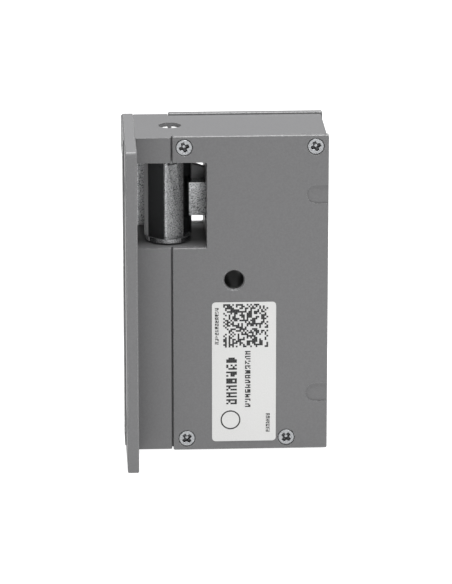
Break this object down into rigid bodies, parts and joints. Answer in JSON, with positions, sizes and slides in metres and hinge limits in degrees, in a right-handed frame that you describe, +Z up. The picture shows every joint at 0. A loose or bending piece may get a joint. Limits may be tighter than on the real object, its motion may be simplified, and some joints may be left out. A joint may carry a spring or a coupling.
{
  "type": "electric door strike",
  "caption": "Electric door strike with a pivoting keeper in a side mouth, a front strike plate and a solenoid lock inside a flat metal body.",
  "frame": {"origin": "middle of the base of the whole part's box", "axes": "+X from the strike plate to the back of the body, +Y from the labelled cover to the other cover, +Z up"},
  "size_m": [0.067, 0.0524, 0.1083],
  "materials": {
    "casting_paint": "fine satin grey paint on die-cast zinc",
    "cover_paint": "fine satin grey paint on pressed cover",
    "plate_paint": "satin grey paint on flat steel plate",
    "zinc_plate": "bright zinc plating",
    "keeper_metal": "sintered steel, nickel plated, fine mottle",
    "bright_steel": "ground steel",
    "spring_steel": "drawn spring wire",
    "black_nylon": "moulded nylon",
    "copper_winding": "enamelled copper wire, wound in even turns",
    "board_laminate": "glass laminate under solder mask",
    "terminal_plastic": "moulded polyamide",
    "component_black": "moulded epoxy",
    "capacitor_sleeve": "shrunk sleeve",
    "lead_red": "extruded wire insulation",
    "lead_black": "extruded wire insulation",
    "label_stock": "matt white label stock"
  },
  "bodies": {
    "body": {"housing": "casting_paint", "near_cover": "cover_paint", "far_cover": "cover_paint", "strike_plate": "plate_paint", "keeper_pin": "bright_steel", "keeper_spring": "spring_steel", "lever_pin": "bright_steel", "plunger_spring": "spring_steel", "solenoid_frame": "zinc_plate", "bobbin": "black_nylon", "coil_winding": "copper_winding", "pole_piece": "bright_steel", "circuit_board": "board_laminate", "terminal_block": "terminal_plastic", "rectifier": "component_black", "capacitor": "capacitor_sleeve", "coil_lead_1": "lead_red", "coil_lead_2": "lead_black", "label": "label_stock", "near_cover_screw_1": "zinc_plate", "far_cover_screw_1": "zinc_plate", "near_cover_screw_2": "zinc_plate", "far_cover_screw_2": "zinc_plate", "near_cover_screw_3": "zinc_plate", "far_cover_screw_3": "zinc_plate", "near_cover_screw_4": "zinc_plate", "far_cover_screw_4": "zinc_plate", "plate_screw_1": "zinc_plate", "plate_screw_2": "zinc_plate", "plate_screw_3": "zinc_plate", "solenoid_screw_1": "zinc_plate", "board_screw_1": "zinc_plate", "terminal_screw_1": "zinc_plate", "solenoid_screw_2": "zinc_plate", "board_screw_2": "zinc_plate", "terminal_screw_2": "zinc_plate"},
    "keeper": {"keeper": "keeper_metal"},
    "lever": {"lock_lever": "bright_steel"},
    "plunger": {"plunger": "bright_steel", "link_pin": "bright_steel"}
  },
  "joints": [
    {"name": "keeper_swing", "type": "hinge", "parent": "body", "child": "keeper", "pos_m": [-0.01757, 0.01065, 0.0845], "axis": [0, 0, 1], "range_deg": [-30, 0], "stiffness_Nm_per_rad": 0.02, "springref_deg": 17.19},
    {"name": "plunger_slide", "type": "slide", "parent": "body", "child": "plunger", "axis": [0, 0, 1], "range_m": [0, 0.00335], "deforming": ["plunger_spring"]},
    {"name": "lever_tilt", "type": "hinge", "parent": "body", "child": "lever", "pos_m": [0.00953, 0.00605, 0.094], "axis": [0, -1, 0], "range_deg": [0, 16]}
  ],
  "couplings": [
    {"joint": "lever_tilt", "follows": "plunger_slide", "rad_per_m": 83.33}
  ]
}
